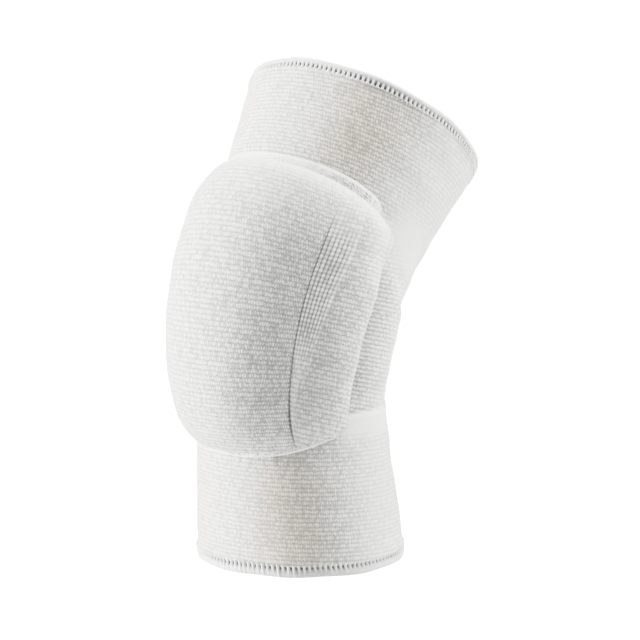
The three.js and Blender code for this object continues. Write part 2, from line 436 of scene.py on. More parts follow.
# Knit from the piece's own map: u round the leg and v along it, in metres
def knitMaterial(name, look):
    material = bpy.data.materials.new(name)
    material.use_nodes = True
    tree = material.node_tree
    tree.nodes.clear()
    mapNode = addNode(tree, "ShaderNodeUVMap", uv_map="knitMap")
    split = addNode(tree, "ShaderNodeSeparateXYZ", {0: mapNode.outputs[0]})
    place = addNode(tree, "ShaderNodeTexCoord").outputs["Object"]
    loose = addNode(tree, "ShaderNodeTexNoise", {"Vector": place, "Scale": 420.0, "Detail": 2.0}).outputs[0]
    shift = calc(tree, "MULTIPLY_ADD", loose, look["wander"], -look["wander"] / 2)
    course = calc(tree, "DIVIDE", split.outputs[1], look["coursePitch"] * metre)
    course = calc(tree, "MULTIPLY_ADD", shift, 0.5, course)
    wale = calc(tree, "DIVIDE", split.outputs[0], look["walePitch"] * metre)
    wale = calc(tree, "ADD", wale, calc(tree, "MULTIPLY", shift, -0.8))
    laid = calc(tree, "FLOOR", calc(tree, "ADD", course, 0.5))
    wale = calc(tree, "MULTIPLY_ADD", laid, look["stagger"], wale)
    wale = calc(tree, "MULTIPLY_ADD", course, look["lean"], wale)
    slant = calc(tree, "PINGPONG", calc(tree, "ADD", wale, 0.5), 1.0)
    course = calc(tree, "MULTIPLY_ADD", slant, look["vee"], course)
    row = calc(tree, "FLOOR", calc(tree, "ADD", course, 0.5))
    column = calc(tree, "FLOOR", calc(tree, "ADD", wale, 0.5))
    crests = calc(tree, "POWER", wave(tree, course), 0.6)
    crests = calc(tree, "MULTIPLY_ADD", crests, look["rowDepth"], 1 - look["rowDepth"])
    across = calc(tree, "POWER", wave(tree, wale), 0.8)
    across = calc(tree, "MULTIPLY_ADD", across, look["columnDepth"], 1 - look["columnDepth"])
    cell = addNode(tree, "ShaderNodeCombineXYZ", {0: column, 1: row})
    chance = addNode(tree, "ShaderNodeTexWhiteNoise", {"Vector": cell.outputs[0]}, noise_dimensions="2D")
    size = calc(tree, "MULTIPLY_ADD", chance.outputs[0], look["speckle"], 1 - look["speckle"] / 2)
    height = calc(tree, "MULTIPLY", calc(tree, "MULTIPLY", crests, across), size)
    fibres = addNode(tree, "ShaderNodeTexNoise", {"Vector": place, "Scale": 1300.0, "Detail": 1.0}).outputs[0]
    fuzz = calc(tree, "MULTIPLY_ADD", fibres, 2 * look["fuzz"], -look["fuzz"])
    height = calc(tree, "ADD", height, fuzz)
    paintedShade, smoothingAndPaintedLight, worn = (
        addNode(tree, "ShaderNodeAttribute", attribute_name=label).outputs["Fac"]
        for label in ("paintedShade", "smoothingAndPaintedLight", "worn")
    )
    # Smoothing pulls the knit towards the crest colour; on the cuffs' sides and on the seam ridge it is painted
    # light
    smoothed = calc(tree, "MULTIPLY", smoothingAndPaintedLight, look["smoothing"])
    height = calc(tree, "ADD", calc(tree, "MULTIPLY", height, calc(tree, "SUBTRACT", 1.0, smoothed)), smoothed)
    shade = calc(tree, "MAXIMUM", calc(tree, "MINIMUM", height, 1.0), 0.0)
    drift = addNode(tree, "ShaderNodeTexNoise", {"Vector": place, "Scale": 75.0, "Detail": 4.0}).outputs[0]
    tinted = calc(tree, "MULTIPLY", calc(tree, "MULTIPLY", drift, worn), look["tintShare"])
    crest = mixColour(tree, tinted, rgba(look["crest"]), rgba(look["tint"]))
    # The knit runs from the painted shade of its grooves to the colour of its crests
    colour = mixColour(tree, shade, rgba(look["grooveShade"]), crest)
    shown = calc(tree, "MULTIPLY_ADD", wave(tree, course), -look["showThrough"], 1.0)
    # Painted shade: the shade mark darkens the knit towards the shade colour, less on the rows' crests
    colour = mixColour(tree, calc(tree, "MULTIPLY", paintedShade, shown), colour, rgba(look["deep"]))
    bump = addNode(
        tree,
        "ShaderNodeBump",
        {"Strength": look["bumpStrength"], "Distance": look["bumpHeight"], "Height": height},
    )
    shader = addNode(
        tree,
        "ShaderNodeBsdfPrincipled",
        {
            "Base Color": colour,
            "Roughness": 0.92,
            "Specular IOR Level": 0.2,
            "Sheen Weight": 0.25,
            "Sheen Roughness": 0.5,
            "Normal": bump.outputs[0],
        },
    )
    out = addNode(tree, "ShaderNodeOutputMaterial")
    tree.links.new(shader.outputs[0], out.inputs[0])
    return material


def threadMaterial(name, colour, roughness):
    material = bpy.data.materials.new(name)
    material.use_nodes = True
    tree = material.node_tree
    tree.nodes.clear()
    place = addNode(tree, "ShaderNodeTexCoord")
    fibres = addNode(tree, "ShaderNodeTexNoise", {"Vector": place.outputs["Object"], "Scale": 2600.0, "Detail": 2.0})
    dim = tuple(part * 0.86 for part in colour)
    tone = mixColour(tree, fibres.outputs[0], rgba(dim), rgba(colour))
    bump = addNode(
        tree, "ShaderNodeBump", {"Strength": 0.5, "Distance": 0.0001, "Height": fibres.outputs[0]}
    )
    shader = addNode(
        tree,
        "ShaderNodeBsdfPrincipled",
        {
            "Base Color": tone,
            "Roughness": roughness,
            "Specular IOR Level": 0.25,
            "Sheen Weight": 0.2,
            "Normal": bump.outputs[0],
        },
    )
    out = addNode(tree, "ShaderNodeOutputMaterial")
    tree.links.new(shader.outputs[0], out.inputs[0])
    return material


# Thread: an arc of it stands at each point of a path, in the plane of the point's two directions
threadInputs = {
    "Arc depth": ("NodeSocketFloat", 1.0),
    "Arc height": ("NodeSocketFloat", 1.0),
    "Start": ("NodeSocketFloat", 0.0),
    "Sweep": ("NodeSocketFloat", math.pi),
    "Thread radius": ("NodeSocketFloat", 0.4),
    "Turn": ("NodeSocketVector", (0.0, 0.0, 0.0)),
    "Jitter": ("NodeSocketVector", (0.0, 0.0, 0.0)),
    "Smallest": ("NodeSocketFloat", 0.9),
    "Largest": ("NodeSocketFloat", 1.1),
    "Seed": ("NodeSocketInt", 1),
    "Thread": ("NodeSocketMaterial", None),
}


def threadTree():
    tree = bpy.data.node_groups.new("threadArcs", "GeometryNodeTree")
    tree.interface.new_socket("Path", in_out="INPUT", socket_type="NodeSocketGeometry")
    identifiers = {}
    for name, (kind, value) in threadInputs.items():
        socket = tree.interface.new_socket(name, in_out="INPUT", socket_type=kind)
        if value is not None:
            socket.default_value = value
        identifiers[name] = socket.identifier
    tree.interface.new_socket("Threads", in_out="OUTPUT", socket_type="NodeSocketGeometry")
    given = addNode(tree, "NodeGroupInput").outputs
    arc = addNode(
        tree,
        "GeometryNodeCurveArc",
        {"Resolution": 9, "Radius": 1.0, "Start Angle": given["Start"], "Sweep Angle": given["Sweep"]},
    )
    stretch = addNode(tree, "ShaderNodeCombineXYZ", {0: given["Arc depth"], 1: given["Arc height"], 2: 1.0})
    shaped = addNode(
        tree, "GeometryNodeTransform", {"Geometry": arc.outputs["Curve"], "Scale": stretch.outputs[0]}
    )
    section = addNode(
        tree, "GeometryNodeCurvePrimitiveCircle", {"Resolution": 6, "Radius": given["Thread radius"]}
    )
    thread = addNode(
        tree,
        "GeometryNodeCurveToMesh",
        {"Curve": shaped.outputs[0], "Profile Curve": section.outputs[0], "Fill Caps": True},
    )
    outward = addNode(tree, "GeometryNodeInputNamedAttribute", {"Name": "outward"}, data_type="FLOAT_VECTOR")
    ahead = addNode(tree, "GeometryNodeInputNamedAttribute", {"Name": "ahead"}, data_type="FLOAT_VECTOR")
    size = addNode(tree, "GeometryNodeInputNamedAttribute", {"Name": "size"}, data_type="FLOAT")
    faced = addNode(tree, "FunctionNodeAlignRotationToVector", {"Vector": outward.outputs[0]}, axis="X")
    laid = addNode(
        tree,
        "FunctionNodeAlignRotationToVector",
        {"Rotation": faced.outputs[0], "Vector": ahead.outputs[0]},
        axis="Y",
        pivot_axis="X",
    )
    turned = addNode(
        tree,
        "FunctionNodeRotateRotation",
        {"Rotation": laid.outputs[0], "Rotate By": given["Turn"]},
        rotation_space="LOCAL",
    )
    least = addNode(tree, "ShaderNodeVectorMath", {0: given["Jitter"], 1: (-1, -1, -1)}, operation="MULTIPLY")
    chance = addNode(
        tree,
        "FunctionNodeRandomValue",
        {0: least.outputs[0], 1: given["Jitter"], "Seed": given["Seed"]},
        data_type="FLOAT_VECTOR",
    )
    shaken = addNode(
        tree,
        "FunctionNodeRotateRotation",
        {"Rotation": turned.outputs[0], "Rotate By": chance.outputs[0]},
        rotation_space="LOCAL",
    )
    grown = addNode(
        tree,
        "FunctionNodeRandomValue",
        {2: given["Smallest"], 3: given["Largest"], "Seed": given["Seed"]},
        data_type="FLOAT",
    )
    scale = addNode(tree, "ShaderNodeMath", {0: grown.outputs[1], 1: size.outputs[0]}, operation="MULTIPLY")
    copies = addNode(
        tree,
        "GeometryNodeInstanceOnPoints",
        {
            "Points": given["Path"],
            "Instance": thread.outputs[0],
            "Rotation": shaken.outputs[0],
            "Scale": scale.outputs[0],
        },
    )
    real = addNode(tree, "GeometryNodeRealizeInstances", {"Geometry": copies.outputs[0]})
    smooth = addNode(tree, "GeometryNodeSetShadeSmooth", {"Geometry": real.outputs[0]})
    finished = addNode(
        tree, "GeometryNodeSetMaterial", {"Geometry": smooth.outputs[0], "Material": given["Thread"]}
    )
    out = addNode(tree, "NodeGroupOutput")
    tree.links.new(finished.outputs[0], out.inputs[0])
    return tree, identifiers


threadNodes, threadSockets = threadTree()


def threadsOn(name, places, outward, ahead, size, settings):
    mesh = bpy.data.meshes.new(name + "Path")
    mesh.vertices.add(len(places))
    mesh.vertices.foreach_set("co", (places * metre).ravel())
    for label, values in (("outward", outward), ("ahead", ahead)):
        mesh.attributes.new(label, "FLOAT_VECTOR", "POINT").data.foreach_set("vector", values.ravel())
    mesh.attributes.new("size", "FLOAT", "POINT").data.foreach_set("value", size)
    path = bpy.data.objects.new(name + "Path", mesh)
    bpy.context.scene.collection.objects.link(path)
    modifier = path.modifiers.new("threads", "NODES")
    modifier.node_group = threadNodes
    for label, value in settings.items():
        modifier[threadSockets[label]] = value
    path.update_tag()
    graph = bpy.context.evaluated_depsgraph_get()
    made = bpy.data.meshes.new_from_object(path.evaluated_get(graph), depsgraph=graph)
    bpy.data.objects.remove(path)
    made.name = name
    piece = bpy.data.objects.new(name, made)
    bpy.context.scene.collection.objects.link(piece)
    return piece


# Points along a line round the leg, "pitch" apart, with the directions that a thread needs there
def pathRound(sAt, heightAt, pitch, offset=0.0, edgeSign=1):
    fine = np.linspace(-180, 180, 1441)
    line = onLeg(sAt(fine), fine, heightAt(fine))
    walked = np.concatenate([[0], np.cumsum(np.linalg.norm(np.diff(line, axis=0), axis=1))])
    count = int(round(walked[-1] / pitch))
    angle = np.interp((np.arange(count) + offset) / count * walked[-1], walked, fine)
    s = sAt(angle)
    height = heightAt(angle)
    places = onLeg(s, angle, height)
    outward = onLeg(s, angle, height + 1) - places
    ahead = (onLeg(s + 1, angle, height) - places) * edgeSign
    return angle, places, outward, ahead


calfKnit = knitMaterial("calfKnit", whiteKnit)
kneeKnit = knitMaterial("kneeKnit", {**whiteKnit, "columnDepth": 0.3})
thighKnit = knitMaterial("thighKnit", {**whiteKnit, "coursePitch": 2.04, "lean": 0.45})
frontKnit = knitMaterial(
    "frontKnit",
    {
        **whiteKnit,
        "grooveShade": (0.4, 0.4, 0.385),
        "coursePitch": 1.48,
        "walePitch": 0.97,
        "stagger": 0.5,
        "rowDepth": 0.68,
        "columnDepth": 0.6,
    },
)
sideKnit = knitMaterial("sideKnit", {**whiteKnit, "coursePitch": 2.2, "columnDepth": 0.4})
gussetKnit = knitMaterial(
    "gussetKnit",
    {
        **whiteKnit,
        "coursePitch": 2.2,
        "rowDepth": 0.65,
        "columnDepth": 0.4,
        "vee": 0.0,
        "wander": 0.5,
        "fuzz": 0.5,
        "showThrough": 0.35,
    },
)
hemCore = knitMaterial(
    "hemCore",
    {**whiteKnit, "crest": (0.8, 0.8, 0.79), "grooveShade": (0.68, 0.68, 0.67), "showThrough": 0.0},
)
# The seam ridge's knit is a lighter copy of the knit: painted light where the ridge lies in shade
litSeamKnit = knitMaterial(
    "litSeamKnit",
    {**whiteKnit, "crest": (0.93, 0.93, 0.91), "grooveShade": (0.8, 0.8, 0.78), "coursePitch": 1.5, "showThrough": 0.2},
)
hemThread = threadMaterial("hemThread", (0.87, 0.87, 0.86), 0.85)

# The pads' outline, as their solids have it, and how full they are
pads = {
    "frontThickness": 18,
    "frontSpan": 44,
    "frontFullness": 1.35,
    "sideThickness": 10,
    "sideSpan": 82,
    "sideFullness": 2.3,
    "sideStart": 0.88,
    "sideCrest": 0.5,
    "sideShoulder": 0.45,  # where it starts to round off towards the back
    "cornerFrom": 0.62,  # above this it thins out into the back panel
    "cornerTo": 0.86,
    "cornerEdge": 0.3,
    "shoulderSmooth": 0.9,  # how far the knit is pulled smooth below the upper seam
    "shoulderWidth": (6, 13),  # in front, and at the side of the leg
    "shoulderTurn": (58, 84),
    "shoulderSoft": 0.3,  # and how far over a wider band
    "softWidth": 24,
    "gussetSpan": 15,
    "gussetDish": 0.8,
    "edge": 1.2,
    "foot": 2.5,  # the height of the sleeve's knit under them
    "inset": 0.9,
    "widthOfDegree": 0.87,
    "lengthUp": 105,  # about how long they are along the leg
}
outlineUp = [0.0, 0.15, 0.35, 0.55, 0.75, 1.0]
outlineShares = {
    "crease": [0.99, 0.93, 0.95, 1.0, 1.06, 1.1],
    "gusset": [0.2, 0.3, 0.6, 0.85, 1.0, 0.9],
    "fold": [0.92, 0.93, 0.965, 1.0, 1.035, 1.06],
}
fillUp = [0.0, 0.05, 0.12, 0.25, 0.45, 0.65, 0.82, 0.92, 0.97, 1.0]
fillShares = {
    "crown": [0.14, 0.45, 0.76, 0.97, 1.0, 0.97, 0.87, 0.62, 0.42, 0.24],
    "edge": [0.1, 0.34, 0.53, 0.66, 0.7, 0.69, 0.62, 0.43, 0.24, 0.08],
    "side": [0.16, 0.45, 0.75, 0.97, 1.0, 1.0, 0.96, 0.7, 0.38, 0.1],
}
# The crease between the front pad and the open knit, from its lower end to its upper one; its shade is painted shade
creaseUp = [0.0, 0.06, 0.14, 0.26, 0.4, 0.6, 0.78, 0.88, 1.0]
crease = {
    "step": [0.2, 0.6, 1.0, 1.0, 0.8, 0.7, 0.4, 0.1, 0.0],
    "channel": [0.3, 0.8, 1.3, 0.6, 0.2, 0.1, 0.1, 0.0, 0.0],
    "width": [0.28, 0.36, 0.5, 0.38, 0.3, 0.3, 0.3, 0.3, 0.3],
    "shade": [0.3, 0.8, 1.0, 0.8, 0.75, 0.8, 0.6, 0.15, 0.0],
}
# The ladders of the open knit: lines of painted shade between its columns, which draw together as it narrows
ladders = {
    "columns": 7,
    "width": 0.3,
    "shade": 0.75,
    "from": 0.32,
    "to": 0.86,
    "fadeFrom": 0.75,  # the share of the way across where they start to fade
    "between": 0.1,  # how much painted shade the knit between them gets
}


def creaseAt(up):
    return pads["frontSpan"] * curveThrough(outlineUp, outlineShares["crease"], up)


def gussetEndAt(up):
    return creaseAt(up) + pads["gussetSpan"] * curveThrough(outlineUp, outlineShares["gusset"], up)


def foldAt(up):
    return pads["sideSpan"] * curveThrough(outlineUp, outlineShares["fold"], up)


# The sleeve's three tubes of knit
hem = {
    "calfReach": 6.0,  # from the edge to the stitches' heads
    "thighReach": 5.0,
    "tuck": 0.4,  # how far the knit runs in under the heads
    "pitch": 2.5,
}
sleeve = {
    "seamDip": 0.4,  # how deep the knit sinks at a seam
    "seamReach": 2.6,
    "puckerHeight": 0.3,
    "puckerReach": 6,
    "puckerPitch": 5,
    "innerEvery": 8,
    "foldShade": 0.42,  # how much painted shade the back panel gets beside a side pad
    "foldReach": 13,
    "billow": 2.2,  # how far the back panel stands out behind it
    "billowSpan": 48,
    "tuck": 1.0,  # how far the knit is drawn in above the roll behind the pads
    "tuckReach": 7,
    "roll": 0.7,
    "rollReach": 9,
    "rollFades": 0.85,  # how far it flattens towards the back
    "rollRise": (7.0, -7.0),  # from the lower seam, where the roll starts and where it flattens
    "rollTurn": (68, 128),
    "rollShade": 0.4,  # how dark the painted shade in the fold above it is, where it starts
    "rollSmooth": 6,
    # length along the leg, its reach, angle round the leg, its reach
    "wornPatches": [(-88, 34, 36, 21), (84, 24, 44, 20)],
    "smoothPatches": [(46, 13, 100, 20)],
}
ringAngles = np.arange(knit["columnsRound"]) * 360 / knit["columnsRound"] - 180


def besideSeam(distance, angle, share):
    dip = sleeve["seamDip"] * np.exp(-((distance / sleeve["seamReach"]) ** 2))
    fold = puckers(distance, angle, sleeve["puckerReach"], sleeve["puckerHeight"], sleeve["puckerPitch"])
    return (fold - dip) * share


# The seams stand out over the pads, and each runs out into smooth knit between the two angles of its end
calfSeamEnd = (66, 76)
thighSeamEnd = (60, 86)


def sewnShare(angle, end):
    return 1 - smoothStep(np.abs(angle), *end)


def tubeGrid(low, high, every, heightAt):
    rows = rowsBetween(low.min(), high.max(), every)
    s = np.clip(rows[:, None], low[None, :], high[None, :])
    angle = np.broadcast_to(ringAngles, s.shape)
    return onLeg(s, angle, heightAt(s, angle)), s


# The back panel gets painted shade where it comes out from under a side pad
def besideFold(s, angle):
    low = calfSeamAt(angle)
    high = thighSeamAt(angle)
    up = np.clip((s - low) / (high - low), 0, 1)
    past = np.abs(angle) - foldAt(up)
    shown = smoothStep(up, 0.05, 0.2) * (1 - smoothStep(up, 0.72, 0.9))
    return past, shown


def foldShade(s, angle):
    past, shown = besideFold(s, angle)
    return shown * sleeve["foldShade"] * np.exp(-((np.maximum(past, 0) / sleeve["foldReach"]) ** 2))


# Behind the pads the calf's knit rolls out smoothly, and the knit above it is drawn in and gets painted shade
def backRoll(s, angle):
    turned = np.abs(angle)
    shown = smoothStep(turned, 62, 74) * (1 - smoothStep(turned, 150, 176))
    rise = mix(*sleeve["rollRise"], smoothStep(turned, *sleeve["rollTurn"]))
    below = calfSeamAt(angle) + rise - s
    tuck = sleeve["tuck"] * np.exp(-((np.minimum(below, 0) / sleeve["tuckReach"]) ** 2))
    roll = sleeve["roll"] * np.exp(-((np.maximum(below - 2, 0) / sleeve["rollReach"]) ** 2))
    roll = roll * (1 - sleeve["rollFades"] * smoothStep(turned, 85, 120))
    height = mix(-tuck, roll, smoothStep(below, -1.5, 2))
    smooth = smoothStep(below, -1.5, 1) * np.exp(-((np.maximum(below - 5, 0) / sleeve["rollSmooth"]) ** 2))
    smooth = smooth * (1 - smoothStep(turned, 105, 140))
    paintedRollShade = sleeve["rollShade"] * np.exp(-(((below + 1.2) / 1.6) ** 2)) * (1 - smoothStep(turned, 80, 108))
    return shown * height, shown * smooth, shown * paintedRollShade


def patchesAt(patches, s, angle):
    total = 0
    for place, length, middle, span in patches:
        total = total + np.exp(-(((s - place) / length) ** 2) - (((np.abs(angle) - middle) / span) ** 2))
    return total


# look gives how far the rows lean back, and how far the knit is drawn smooth and light between two angles,
# which is painted light on the sides of the cuffs
def sleeveTube(name, low, high, seamLines, material, look, node):
    def outside(s, angle):
        past, shown = besideFold(s, angle)
        billow = np.sin(np.clip((past - 2) / sleeve["billowSpan"], 0, 1) * math.pi)
        height = knit["wall"] + uneven(s, angle) + sleeve["billow"] * shown * billow
        height = height + backRoll(s, angle)[0]
        for seamAt, end in seamLines:
            height = height + besideSeam(np.abs(s - seamAt(angle)), angle, sewnShare(angle, end))
        return height

    def inside(s, angle):
        return 0.1 + uneven(s, angle) * 0.5

    outer, s = tubeGrid(low, high, 1, outside)
    inner, innerS = tubeGrid(low, high, sleeve["innerEvery"], inside)
    angle = np.broadcast_to(ringAngles, s.shape)
    rolled = backRoll(s, angle)
    # Painted light: the knit on the leg's sides is drawn smoother and lighter, as the side lamps light it there
    paintedSideLight = look["smooth"] * smoothStep(np.abs(angle), *look["sideLightTurn"])
    marks = {
        "paintedShade": foldShade(s, angle) + rolled[2],
        "smoothingAndPaintedLight": rolled[1] + paintedSideLight + patchesAt(sleeve["smoothPatches"], s, angle),
        "worn": patchesAt(sleeve["wornPatches"], s, angle),
    }
    outerGrid = (outer, acrossRows(outer, s, look["rowLean"]))
    innerGrid = (inner, acrossRows(inner, innerS, look["rowLean"]))
    piece = closedSkin(name, outerGrid, innerGrid, ringAngles, True, material, marks)
    return keep(piece, "knit", node)


sleeveTube(
    "calfCuff",
    calfHemAt(ringAngles) + hem["calfReach"] - hem["tuck"],
    calfSeamAt(ringAngles),
    [(calfSeamAt, calfSeamEnd)],
    calfKnit,
    {"rowLean": 3.5, "smooth": 0.4, "sideLightTurn": (62, 92)},
    "calf_cuff",
)
sleeveTube(
    "kneeSleeve",
    calfSeamAt(ringAngles),
    thighSeamAt(ringAngles),
    [],
    kneeKnit,
    {"rowLean": 14, "smooth": 0.5, "sideLightTurn": (98, 122)},
    "knee_sleeve",
)
sleeveTube(
    "thighCuff",
    thighSeamAt(ringAngles),
    thighHemAt(ringAngles) - hem["thighReach"] + hem["tuck"],
    [(thighSeamAt, thighSeamEnd)],
    thighKnit,
    {"rowLean": 30, "smooth": 0.5, "sideLightTurn": (58, 92)},
    "thigh_cuff",
)

# The overlocked hems: a rolled edge with a thread whipped round it
hemLook = {
    "sections": 18,
    "middle": 1.4,
    "coreDepth": 1.3,  # half its thickness
    "slotDepth": 0.3,  # what is left of it between the stitches' legs
    # painted shade in the slots between the stitches
    "slotShade": 0.9,
    "threadRadius": 0.76,
    "threadDepth": 0.9,
    "drift": 0.25,
    "driftTurns": 9,
}


# slots is the share of the reach that lies open between the stitches
def makeHem(name, edgeAt, edgeSign, reach, slots, node):
    def startAt(angle):
        drift = hemLook["drift"] * np.sin(np.radians(angle) * hemLook["driftTurns"] + edgeSign)
        return edgeAt(angle) - edgeSign * reach + drift

    def middleHeight(angle):
        return hemLook["middle"] + 0 * angle

    turn = np.linspace(0, math.pi, hemLook["sections"])
    ahead = np.sin(turn) ** 0.8
    filled = smoothStep(ahead, slots - 0.15, slots + 0.15)
    side = np.sign(np.cos(turn)) * np.abs(np.cos(turn)) ** 0.6
    out = hemLook["coreDepth"] * mix(hemLook["slotDepth"], 1, filled) * side
    s = startAt(ringAngles)[None, :] + edgeSign * (reach - 0.2) * ahead[:, None]
    angle = np.broadcast_to(ringAngles, s.shape)
    core = onLeg(s, angle, middleHeight(angle) + out[:, None])
    # The slots between the stitches get painted shade
    paintedShade = hemLook["slotShade"] * (1 - filled)[:, None] + 0 * s
    keep(closedRing(name + "Core", core, ringAngles, hemCore, {"paintedShade": paintedShade}), "stitching")
    at, places, outward, forward = pathRound(startAt, middleHeight, hem["pitch"], edgeSign=edgeSign)
    settings = {
        "Arc depth": hemLook["threadDepth"] * metre,
        "Arc height": (reach - 0.85) * metre,
        "Start": math.radians(-6),
        "Sweep": math.radians(192),
        "Thread radius": hemLook["threadRadius"] * metre,
        "Turn": (0.1, 0.0, 0.0),
        "Jitter": (0.04, 0.02, 0.03),
        "Smallest": 0.97,
        "Largest": 1.04,
        "Seed": 11 if edgeSign > 0 else 12,
        "Thread": hemThread,
    }
    threads = threadsOn(name + "Stitches", places, outward, forward, np.ones(len(at)), settings)
    keep(threads, "stitching", node)


makeHem("calfHem", calfHemAt, -1, hem["calfReach"], 0.3, "calf_hem")
makeHem("thighHem", thighHemAt, 1, hem["thighReach"], 0.42, "thigh_hem")

# The sewn seams over the pads' ends: a low puckered ridge, with small loops of thread and needle holes drawn as
# specks of painted shade
seamLook = {
    "sections": 25,
    "columns": 840,
    "bumps": 0.08,
    "bumpPitch": 3.1,
    # painted light: the ridge's stitches are drawn smooth and light
    "smooth": 0.9,
    "hidden": 0.6,  # the height at which its ends lie inside the sleeve's knit
    "loopPitch": 1.9,
    "sunk": 0.45,
    "threadRadius": 0.36,
    "holePitch": 2.4,
    "holeSize": 0.42,
    "holeShade": (0.15, 0.6),
}
# reach is the height of the ridge over the sleeve, and lift how far it lies above the line of the seam
calfSeamLook = {"halfWidth": 2.4, "reach": 1.7, "lift": 0.8, "loopRows": (-0.9, 0.5)}
thighSeamLook = {"halfWidth": 4.2, "reach": 1.4, "lift": 0.4, "loopRows": (-0.8, 0.6, 2.0)}


# The needle holes are specks of painted shade here and there on both slopes of the ridge
def holesAt(angle, side, halfWidth, seed):
    chance = np.random.default_rng(seed)
    girth = leg["kneeRadius"] * math.tau
    count = int(girth / seamLook["holePitch"])
    places = (np.arange(count) + chance.uniform(-0.4, 0.4, count)) / count * 360 - 180
    slopes = chance.choice([-1, 1], count) * chance.uniform(0.2, 0.8, count) * halfWidth
    shades = chance.uniform(*seamLook["holeShade"], count)
    total = np.zeros(np.broadcast_shapes(angle.shape, side.shape))
    for place, slope, shade in zip(places, slopes, shades):
        away = np.hypot((angle - place) / 360 * girth, side - slope)
        total = total + shade * np.exp(-((away / seamLook["holeSize"]) ** 2))
    return total


# end is where the seam runs out
def makeSeam(name, seamAt, look, end, seed, node):
    foot = knit["wall"] - sleeve["seamDip"]
    angles = np.arange(seamLook["columns"]) * 360 / seamLook["columns"] - 180
    turn = np.linspace(0, math.pi, seamLook["sections"])
    side = look["halfWidth"] * np.cos(turn)
    phase = np.radians(angles) * leg["kneeRadius"] / seamLook["bumpPitch"] * math.tau
    bump = 1 + seamLook["bumps"] * np.sin(phase + 1.7 * np.sin(phase * 0.37 + seed))
    rounded = foot + look["reach"] * bump[None, :] * np.sin(turn)[:, None] ** 0.8
    s = seamAt(angles)[None, :] + look["lift"] + side[:, None]
    angle = np.broadcast_to(angles, s.shape)
    ridge = onLeg(s, angle, mix(seamLook["hidden"], rounded, sewnShare(angle, end)))
    holes = holesAt(angles[None, :], side[:, None], look["halfWidth"], seed)
    marks = {"paintedShade": holes, "smoothingAndPaintedLight": seamLook["smooth"] + 0 * s}
    keep(closedRing(name + "Ridge", ridge, angles, litSeamKnit, marks), "stitching")
    rows = []
    for row, shift in enumerate(look["loopRows"]):
        share = math.sqrt(1 - (shift / look["halfWidth"]) ** 2) ** 0.8

        def lineAt(angle, shift=shift):
            return seamAt(angle) + look["lift"] + shift

        def crestAt(angle, share=share):
            height = mix(seamLook["hidden"], foot + look["reach"] * share, sewnShare(angle, end))
            return height - seamLook["sunk"]

        rows.append(pathRound(lineAt, crestAt, seamLook["loopPitch"], row * 0.37))
    at, places, outward, forward = (np.concatenate(parts) for parts in zip(*rows))
    size = mix(0.6, 0.75, smoothStep(np.abs(at), 25, 48)) * sewnShare(at, end)
    shown = size > 0.2
    settings = {
        "Arc depth": 0.75 * metre,
        "Arc height": 1.05 * metre,
        "Start": math.radians(-100),
        "Sweep": math.radians(200),
        "Thread radius": seamLook["threadRadius"] * metre,
        "Turn": (1.1, 0.0, 0.0),
        "Jitter": (0.4, 0.3, 0.5),
        "Smallest": 0.7,
        "Largest": 1.3,
        "Seed": seed,
        "Thread": hemThread,
    }
    loops = threadsOn(name + "Loops", places[shown], outward[shown], forward[shown], size[shown], settings)
    keep(loops, "stitching", node)


makeSeam("calfSeam", calfSeamAt, calfSeamLook, calfSeamEnd, 3, "calf_seam")
makeSeam("thighSeam", thighSeamAt, thighSeamLook, thighSeamEnd, 5, "thigh_seam")
print("hems and seams made")

# The heights of the pads over the sleeve. In each, share is 0 at the edge nearer the front and 1 at the
# other, and width is the piece's own, in millimetres.
def frontPadHeight(up, share):
    edge = pads["frontThickness"] * curveThrough(fillUp, fillShares["edge"], up)
    crown = pads["frontThickness"] * curveThrough(fillUp, fillShares["crown"], up)
    bell = (1 + np.cos(math.pi * np.abs(share) ** pads["frontFullness"])) / 2
    return np.maximum(pads["edge"], mix(edge, crown, bell))


def sidePadHeight(up, share):
    full = pads["sideThickness"] * curveThrough(fillUp, fillShares["side"], up)
    rise = mix(pads["sideStart"], 1, np.sin(np.minimum(share / pads["sideCrest"], 1) * math.pi / 2))
    beyond = np.clip((share - pads["sideShoulder"]) / (1 - pads["sideShoulder"]), 0, 1)
    fall = (1 - beyond ** pads["sideFullness"]) ** (1 / pads["sideFullness"])
    corner = smoothStep(up, pads["cornerFrom"], pads["cornerTo"]) * smoothStep(share, 0.1, 1)
    edge = mix(pads["edge"], pads["cornerEdge"], corner)
    return np.maximum(edge, full * rise * fall * (1 - 0.8 * corner))


# The distance is in millimetres from the crease
def creaseDepth(up, distance, depth):
    width = curveThrough(creaseUp, crease["width"], up)
    return curveThrough(creaseUp, crease[depth], up) * np.exp(-((distance / width) ** 2))


def gussetHeight(up, share, width):
    step = curveThrough(creaseUp, crease["step"], up)
    height = mix(frontPadHeight(up, 1.0) - step, sidePadHeight(up, np.zeros_like(up)), share)
    height = height - creaseDepth(up, share * width, "channel")
    return np.maximum(pads["edge"], height - pads["gussetDish"] * np.sin(share * math.pi) * (1 - up))


def shoulderSmooth(up, angle):
    below = (1 - up) * pads["lengthUp"]
    width = mix(*pads["shoulderWidth"], smoothStep(np.abs(angle), *pads["shoulderTurn"]))
    soft = pads["shoulderSoft"] * np.exp(-((below / pads["softWidth"]) ** 2))
    return np.maximum(soft, pads["shoulderSmooth"] * np.exp(-((below / width) ** 2)))


